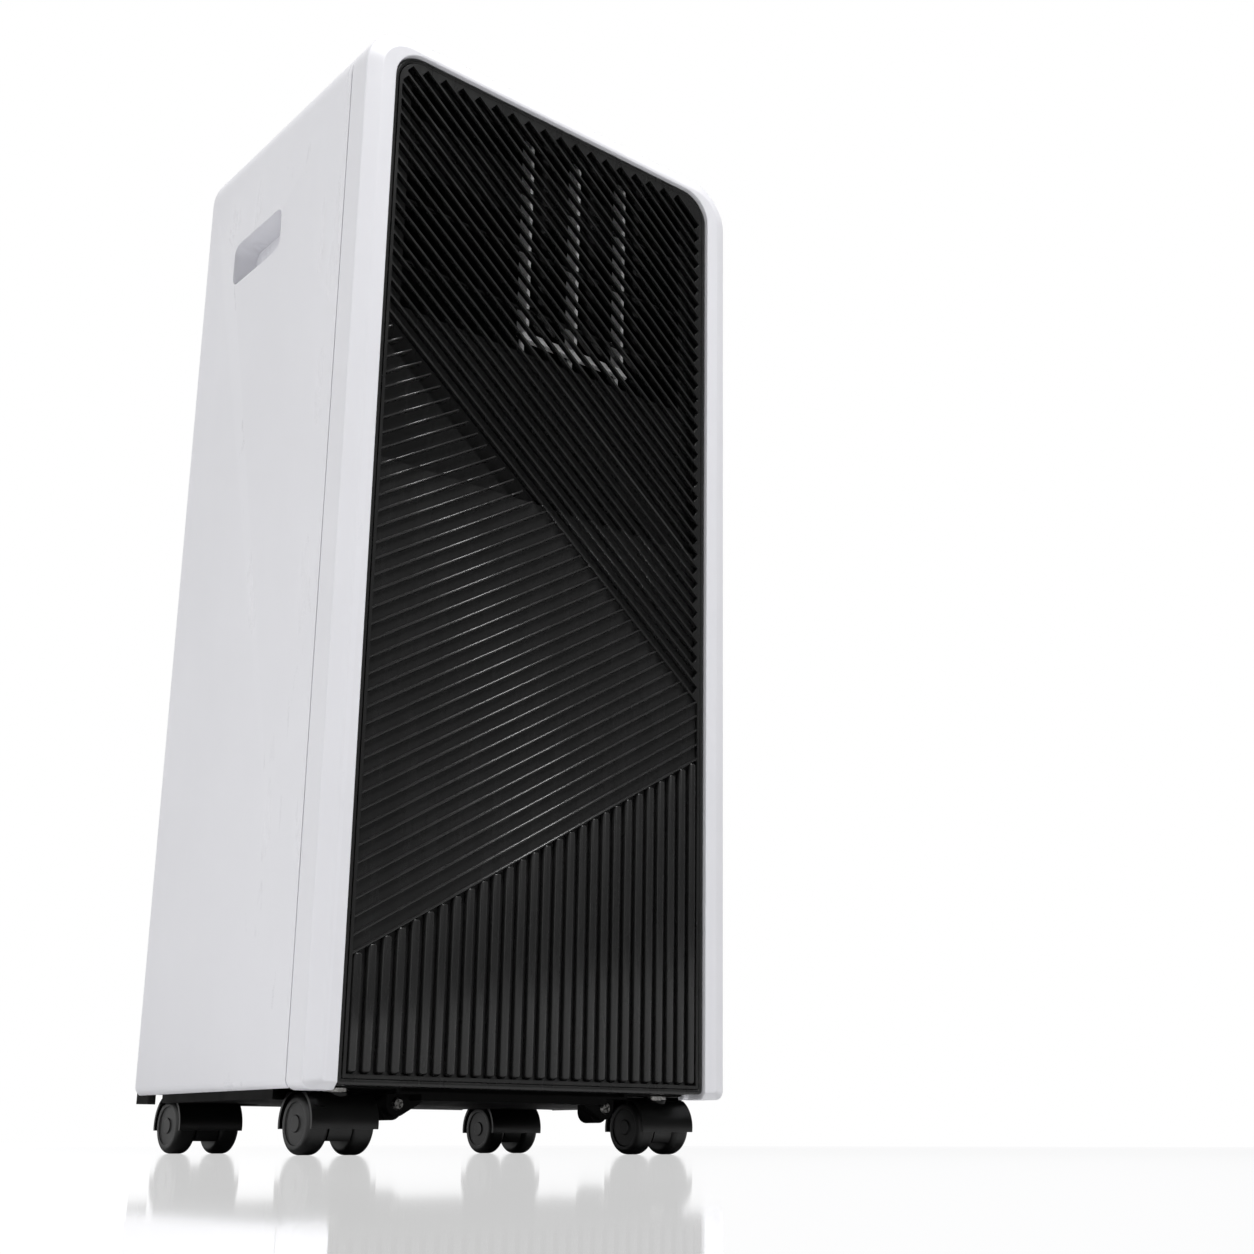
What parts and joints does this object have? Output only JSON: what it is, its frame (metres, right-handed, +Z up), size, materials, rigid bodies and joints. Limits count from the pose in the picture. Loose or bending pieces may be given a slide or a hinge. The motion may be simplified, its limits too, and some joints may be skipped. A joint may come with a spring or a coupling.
{
  "type": "portable air conditioner",
  "caption": "Slim upright portable air conditioner: white chamfered casing, black ribbed front with a slatted outlet, swing vanes, rear exhaust socket, twin-wheel casters.",
  "frame": {"origin": "on the floor, at the middle of the outer box", "axes": "+Z up, -Y out of the black ribbed front, +X to the right as seen from the front"},
  "size_m": [0.3, 0.232, 0.694],
  "materials": {
    "casing_white": "satin injection-moulded ABS, cool white",
    "cover_white": "fine-textured ABS, cool white",
    "panel_black": "satin black ABS with a faint mould texture",
    "base_black": "matt black polypropylene",
    "collar_grey": "matt dark grey ABS",
    "filter_net": "woven nylon net",
    "rubber_black": "matt moulded rubber",
    "control_black": "gloss black ABS",
    "display_glass": "smoked acrylic",
    "board_green": "solder-masked circuit board",
    "duct_black": "matt black moulded duct",
    "vane_grey": "satin light grey acetal",
    "sheet_steel": "zinc-coated sheet steel",
    "motor_steel": "dark painted pressed steel",
    "fan_black": "glass-filled polypropylene",
    "deck_grey": "grey moulded tray",
    "coil_aluminium": "bare fin stock",
    "compressor_paint": "gloss black enamel",
    "copper": "drawn copper tube",
    "bright_steel": "turned steel",
    "screw_steel": "zinc-plated steel",
    "button_grey": "satin dark grey ABS",
    "caster_black": "satin black nylon",
    "caster_tread": "satin black nylon tread"
  },
  "bodies": {
    "cabinet": {"accumulator": "compressor_paint", "back_cover": "cover_white", "base_tray": "base_black", "case_screws": "screw_steel", "caster_stems": "bright_steel", "compressor": "compressor_paint", "compressor_grommets": "rubber_black", "condenser_coil": "coil_aluminium", "control_board": "board_green", "control_panel": "control_black", "cord_gland": "rubber_black", "discharge_pipe": "copper", "display_window": "display_glass", "drain_pipe": "base_black", "evaporator_coil": "coil_aluminium", "exhaust_collar": "collar_grey", "exhaust_duct": "duct_black", "fan_bulkhead": "sheet_steel", "front_frame": "casing_white", "lower_blower_housing": "duct_black", "lower_fan_motor": "motor_steel", "lower_panel": "panel_black", "main_shell": "casing_white", "middle_deck": "deck_grey", "outlet_duct": "duct_black", "suction_pipe": "copper", "swing_motor": "sheet_steel", "upper_blower_housing": "duct_black", "upper_fan_motor": "motor_steel", "upper_grille": "panel_black"},
    "vane_1": {"vane_1": "vane_grey"},
    "vane_2": {"vane_2": "vane_grey"},
    "vane_3": {"vane_3": "vane_grey"},
    "vane_tie_bar": {"vane_tie_bar": "vane_grey"},
    "upper_blower_wheel": {"upper_blower_wheel": "fan_black"},
    "lower_blower_wheel": {"lower_blower_wheel": "fan_black"},
    "intake_filter": {"intake_filter_frame": "cover_white", "filter_mesh": "filter_net"},
    "drain_plug": {"drain_plug": "rubber_black"},
    "button_power": {"button_power": "button_grey"},
    "button_mode": {"button_mode": "button_grey"},
    "button_fan": {"button_fan": "button_grey"},
    "button_up": {"button_up": "button_grey"},
    "button_down": {"button_down": "button_grey"},
    "caster_fl": {"caster_fl_hood": "caster_black", "caster_fl_axle": "bright_steel"},
    "caster_fl_left": {"caster_fl_wheel_left": "caster_tread"},
    "caster_fl_right": {"caster_fl_wheel_right": "caster_tread"},
    "caster_fr": {"caster_fr_hood": "caster_black", "caster_fr_axle": "bright_steel"},
    "caster_fr_left": {"caster_fr_wheel_left": "caster_tread"},
    "caster_fr_right": {"caster_fr_wheel_right": "caster_tread"},
    "caster_rl": {"caster_rl_hood": "caster_black", "caster_rl_axle": "bright_steel"},
    "caster_rl_left": {"caster_rl_wheel_left": "caster_tread"},
    "caster_rl_right": {"caster_rl_wheel_right": "caster_tread"},
    "caster_rr": {"caster_rr_hood": "caster_black", "caster_rr_axle": "bright_steel"},
    "caster_rr_left": {"caster_rr_wheel_left": "caster_tread"},
    "caster_rr_right": {"caster_rr_wheel_right": "caster_tread"}
  },
  "joints": [
    {"name": "vane_swing", "type": "hinge", "parent": "cabinet", "child": "vane_2", "pos_m": [0.028, -0.09, 0.6], "axis": [0, 0, 1], "range_deg": [-30, 30]},
    {"name": "vane_1_swing", "type": "hinge", "parent": "cabinet", "child": "vane_1", "pos_m": [-0.012, -0.09, 0.6], "axis": [0, 0, 1], "range_deg": [-30, 30]},
    {"name": "vane_3_swing", "type": "hinge", "parent": "cabinet", "child": "vane_3", "pos_m": [0.068, -0.09, 0.6], "axis": [0, 0, 1], "range_deg": [-30, 30]},
    {"name": "tie_bar_pin", "type": "hinge", "parent": "vane_2", "child": "vane_tie_bar", "pos_m": [0.028, -0.0957, 0.525], "axis": [0, 0, 1], "range_deg": [-30, 30]},
    {"name": "upper_fan_spin", "type": "hinge", "parent": "cabinet", "child": "upper_blower_wheel", "pos_m": [0.015, 0.035, 0.493], "axis": [0, 1, 0], "continuous": true},
    {"name": "lower_fan_spin", "type": "hinge", "parent": "cabinet", "child": "lower_blower_wheel", "pos_m": [0.015, 0.035, 0.181], "axis": [0, 1, 0], "continuous": true},
    {"name": "filter_pull", "type": "slide", "parent": "cabinet", "child": "intake_filter", "axis": [0, 1, 0], "range_m": [0, 0.08]},
    {"name": "drain_plug_pull", "type": "slide", "parent": "cabinet", "child": "drain_plug", "axis": [0, 1, 0], "range_m": [0, 0.025]},
    {"name": "button_power_press", "type": "slide", "parent": "cabinet", "child": "button_power", "axis": [0, 0, -1], "range_m": [0, 0.001], "stiffness_N_per_m": 400, "springref_m": -0.001},
    {"name": "button_mode_press", "type": "slide", "parent": "cabinet", "child": "button_mode", "axis": [0, 0, -1], "range_m": [0, 0.001], "stiffness_N_per_m": 400, "springref_m": -0.001},
    {"name": "button_fan_press", "type": "slide", "parent": "cabinet", "child": "button_fan", "axis": [0, 0, -1], "range_m": [0, 0.001], "stiffness_N_per_m": 400, "springref_m": -0.001},
    {"name": "button_up_press", "type": "slide", "parent": "cabinet", "child": "button_up", "axis": [0, 0, -1], "range_m": [0, 0.001], "stiffness_N_per_m": 400, "springref_m": -0.001},
    {"name": "button_down_press", "type": "slide", "parent": "cabinet", "child": "button_down", "axis": [0, 0, -1], "range_m": [0, 0.001], "stiffness_N_per_m": 400, "springref_m": -0.001},
    {"name": "caster_fl_swivel", "type": "hinge", "parent": "cabinet", "child": "caster_fl", "pos_m": [-0.115, -0.085, 0.03], "axis": [0, 0, 1], "continuous": true},
    {"name": "caster_fl_left_roll", "type": "hinge", "parent": "caster_fl", "child": "caster_fl_left", "pos_m": [-0.115, -0.079, 0.01675], "axis": [1, 0, 0], "continuous": true},
    {"name": "caster_fl_right_roll", "type": "hinge", "parent": "caster_fl", "child": "caster_fl_right", "pos_m": [-0.115, -0.079, 0.01675], "axis": [1, 0, 0], "continuous": true},
    {"name": "caster_fr_swivel", "type": "hinge", "parent": "cabinet", "child": "caster_fr", "pos_m": [0.115, -0.085, 0.03], "axis": [0, 0, 1], "continuous": true},
    {"name": "caster_fr_left_roll", "type": "hinge", "parent": "caster_fr", "child": "caster_fr_left", "pos_m": [0.115, -0.079, 0.01675], "axis": [1, 0, 0], "continuous": true},
    {"name": "caster_fr_right_roll", "type": "hinge", "parent": "caster_fr", "child": "caster_fr_right", "pos_m": [0.115, -0.079, 0.01675], "axis": [1, 0, 0], "continuous": true},
    {"name": "caster_rl_swivel", "type": "hinge", "parent": "cabinet", "child": "caster_rl", "pos_m": [-0.115, 0.082, 0.03], "axis": [0, 0, 1], "continuous": true},
    {"name": "caster_rl_left_roll", "type": "hinge", "parent": "caster_rl", "child": "caster_rl_left", "pos_m": [-0.115, 0.088, 0.01675], "axis": [1, 0, 0], "continuous": true},
    {"name": "caster_rl_right_roll", "type": "hinge", "parent": "caster_rl", "child": "caster_rl_right", "pos_m": [-0.115, 0.088, 0.01675], "axis": [1, 0, 0], "continuous": true},
    {"name": "caster_rr_swivel", "type": "hinge", "parent": "cabinet", "child": "caster_rr", "pos_m": [0.115, 0.082, 0.03], "axis": [0, 0, 1], "continuous": true},
    {"name": "caster_rr_left_roll", "type": "hinge", "parent": "caster_rr", "child": "caster_rr_left", "pos_m": [0.115, 0.088, 0.01675], "axis": [1, 0, 0], "continuous": true},
    {"name": "caster_rr_right_roll", "type": "hinge", "parent": "caster_rr", "child": "caster_rr_right", "pos_m": [0.115, 0.088, 0.01675], "axis": [1, 0, 0], "continuous": true}
  ],
  "couplings": [
    {"joint": "vane_1_swing", "follows": "vane_swing", "ratio": 1},
    {"joint": "vane_3_swing", "follows": "vane_swing", "ratio": 1},
    {"joint": "tie_bar_pin", "follows": "vane_swing", "ratio": -1}
  ]
}
